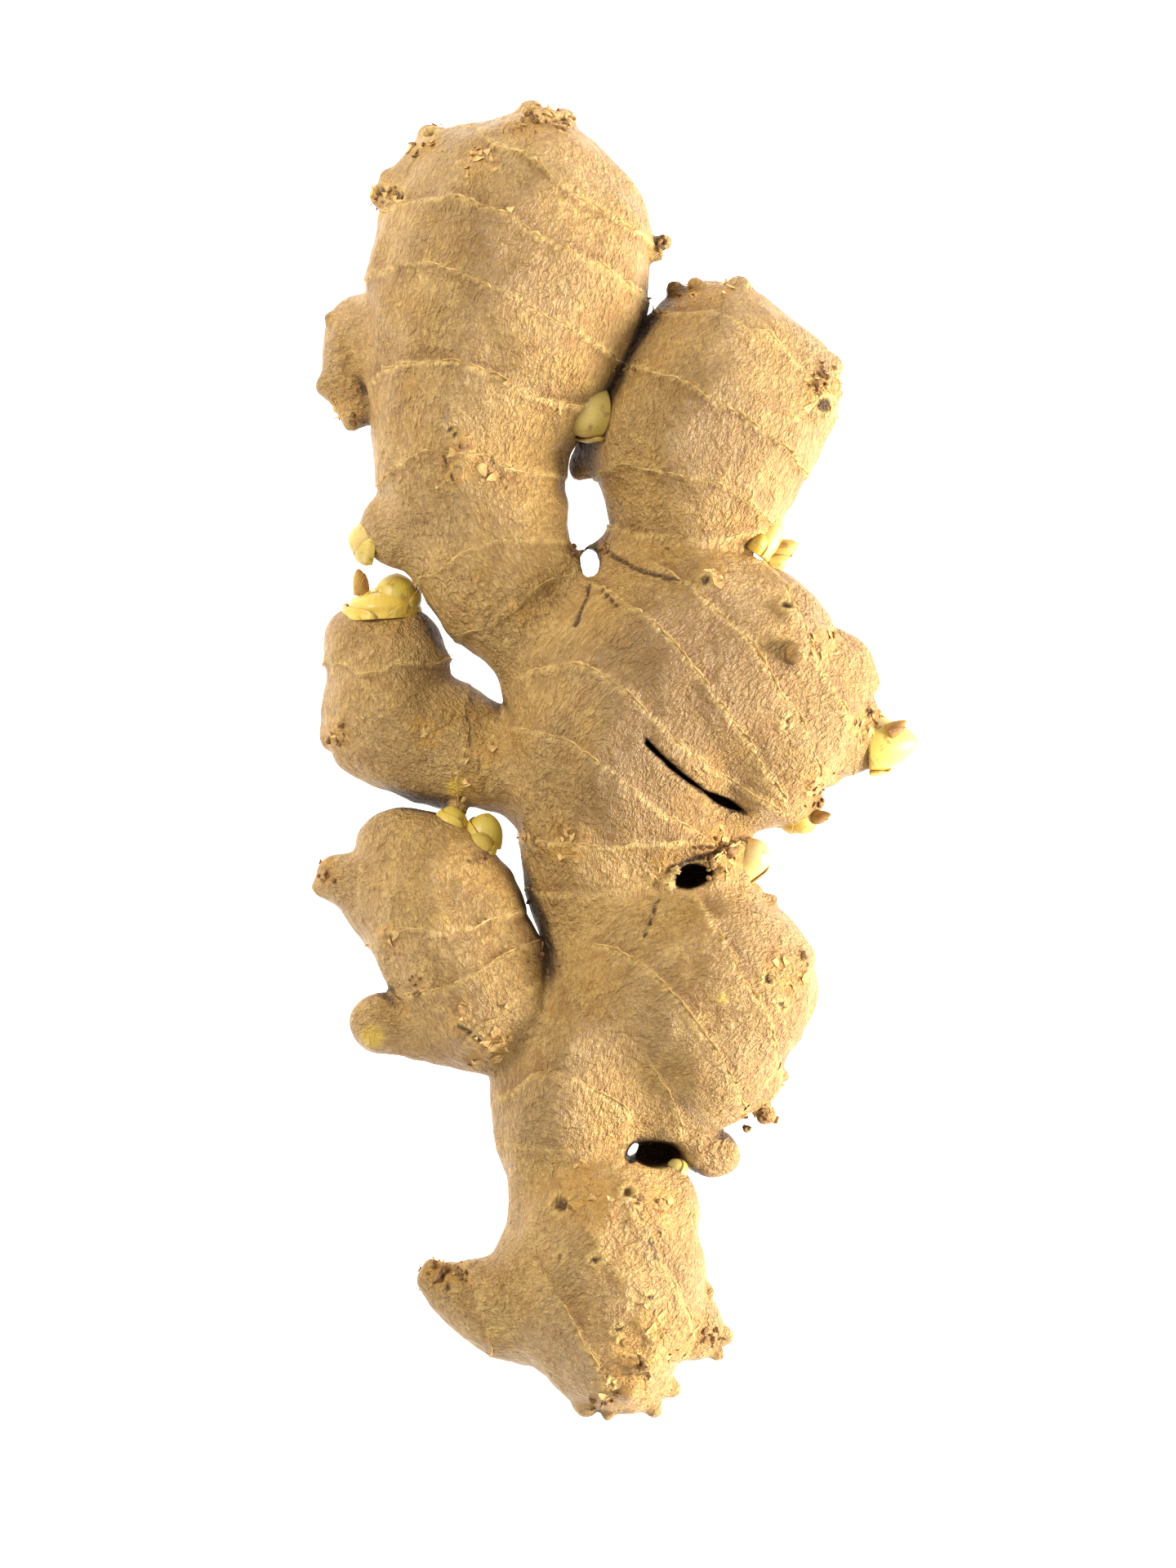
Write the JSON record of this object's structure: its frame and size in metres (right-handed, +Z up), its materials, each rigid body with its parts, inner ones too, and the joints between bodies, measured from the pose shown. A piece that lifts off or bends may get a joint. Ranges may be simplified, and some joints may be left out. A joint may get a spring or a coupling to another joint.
{
  "type": "ginger root",
  "caption": "Hand of fresh ginger lying on its back: short ringed fingers with knobs and small pale buds, grown as one piece.",
  "frame": {"origin": "middle of the root's box, on the surface it lies on", "axes": "+Y towards the broad crown finger, +Z up out of the surface, +X to the side with the two large right-hand fingers"},
  "size_m": [0.0746, 0.1602, 0.0291],
  "materials": {
    "rind": "matt papery skin"
  },
  "bodies": {
    "root": {"ginger_root": "rind"}
  },
  "joints": []
}
